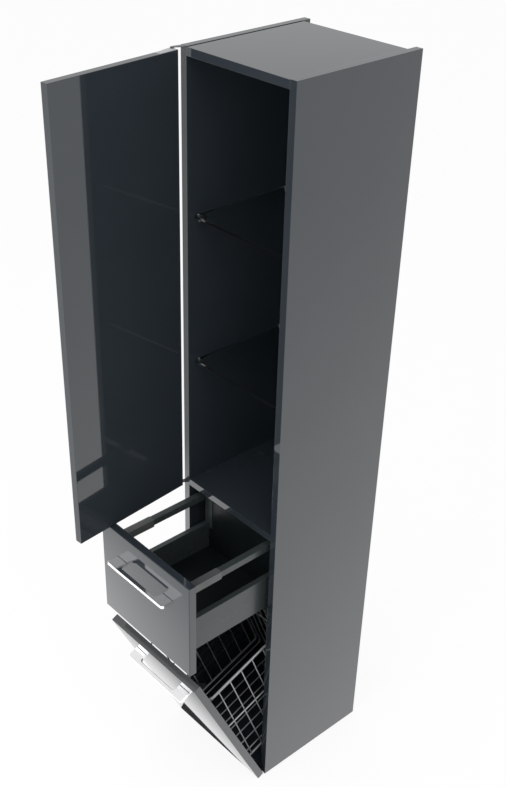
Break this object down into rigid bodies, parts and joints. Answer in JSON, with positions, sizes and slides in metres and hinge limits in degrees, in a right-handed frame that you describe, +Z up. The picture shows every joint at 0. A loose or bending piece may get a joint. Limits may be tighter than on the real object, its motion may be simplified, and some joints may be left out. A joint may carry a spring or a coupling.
{
  "type": "tall wall cabinet with tilting laundry hamper",
  "caption": "Narrow wall-hung bathroom cabinet in anthracite gloss with a hinged door over glass shelves, a drawer on roller runners and a tilting flap that carries a wire laundry basket",
  "frame": {"origin": "on the wall plane, at mid-width, level with the underside of the bottom panel", "axes": "+X to the viewer's right, +Y towards the wall, +Z up; the fronts face -Y"},
  "size_m": [0.3089, 0.6293, 1.6944],
  "materials": {
    "gloss_lacquer": "anthracite high-gloss lacquer on board",
    "bright_metal": "bright chrome plate",
    "steel": "zinc-plated steel",
    "grey_coated_steel": "grey powder coat",
    "clear_glass": "clear, ground edges",
    "grey_plastic": "grey moulded plastic",
    "white_plastic": "white moulded plastic",
    "grey_board": "grey melamine-faced board",
    "beech": "ribbed beech dowel"
  },
  "bodies": {
    "carcass": {"side_panel_left": "gloss_lacquer", "side_panel_right": "gloss_lacquer", "top_panel": "gloss_lacquer", "middle_shelf": "gloss_lacquer", "bottom_panel": "gloss_lacquer", "back_panel": "gloss_lacquer", "panel_dowels": "beech", "cam_fittings": "steel", "glass_shelf_lower": "clear_glass", "glass_shelf_upper": "clear_glass", "shelf_supports": "bright_metal", "door_bracket_top": "gloss_lacquer", "door_bracket_bottom": "gloss_lacquer", "door_bracket_screws": "gloss_lacquer", "door_pivot_pins": "steel", "door_thrust_washer": "white_plastic", "runner_rail_left": "grey_coated_steel", "runner_rail_right": "grey_coated_steel", "runner_screws": "steel", "flap_hinge_bases": "steel", "flap_hinge_pins": "steel", "flap_base_screws": "steel", "limit_stud": "steel", "hanger_housings": "grey_plastic", "hanger_hooks": "steel"},
    "front_rollers": {"front_rollers": "white_plastic"},
    "door": {"door_panel": "gloss_lacquer", "door_handle": "bright_metal", "door_handle_studs": "steel", "door_leaf_top": "steel", "door_leaf_bottom": "steel", "door_leaf_screws": "steel"},
    "drawer": {"drawer_front": "gloss_lacquer", "drawer_side_left": "grey_coated_steel", "drawer_side_right": "grey_coated_steel", "drawer_bottom": "grey_board", "drawer_back": "grey_board", "gallery_rails": "grey_coated_steel", "rail_sleeves": "grey_plastic", "drawer_rear_brackets": "grey_coated_steel", "drawer_front_fixings": "grey_plastic", "drawer_runner_rails": "grey_coated_steel", "drawer_handle": "bright_metal", "drawer_handle_studs": "steel"},
    "rear_rollers": {"rear_rollers": "white_plastic"},
    "flap": {"flap_panel": "gloss_lacquer", "flap_handle": "bright_metal", "flap_handle_studs": "steel", "flap_hinge_leaves": "steel", "flap_screws": "steel", "flap_limit_arm": "steel", "basket_clips": "steel", "basket_buffers": "white_plastic", "basket_rim": "bright_metal", "basket_side_left": "bright_metal", "basket_side_right": "bright_metal", "basket_floor_wires": "bright_metal", "basket_band": "bright_metal"}
  },
  "joints": [
    {"name": "door_swing", "type": "hinge", "parent": "carcass", "child": "door", "pos_m": [-0.1498, -0.3327, 1.208], "axis": [0, 0, 1], "range_deg": [-20, 85.34]},
    {"name": "drawer_slide", "type": "slide", "parent": "carcass", "child": "drawer", "axis": [0, 1, 0], "range_m": [0, 0.214]},
    {"name": "flap_tilt", "type": "hinge", "parent": "carcass", "child": "flap", "pos_m": [0, -0.3155, -0.0005], "axis": [-1, 0, 0], "range_deg": [0, 25]},
    {"name": "front_roller_spin", "type": "hinge", "parent": "carcass", "child": "front_rollers", "pos_m": [0, -0.3, 0.5255], "axis": [1, 0, 0], "range_deg": [-1363, 0]},
    {"name": "rear_roller_spin", "type": "hinge", "parent": "drawer", "child": "rear_rollers", "pos_m": [0, -0.281, 0.5255], "axis": [1, 0, 0], "range_deg": [-1363, 0]}
  ],
  "couplings": [
    {"joint": "front_roller_spin", "follows": "drawer_slide", "rad_per_m": -111.11},
    {"joint": "rear_roller_spin", "follows": "drawer_slide", "rad_per_m": -111.11}
  ]
}
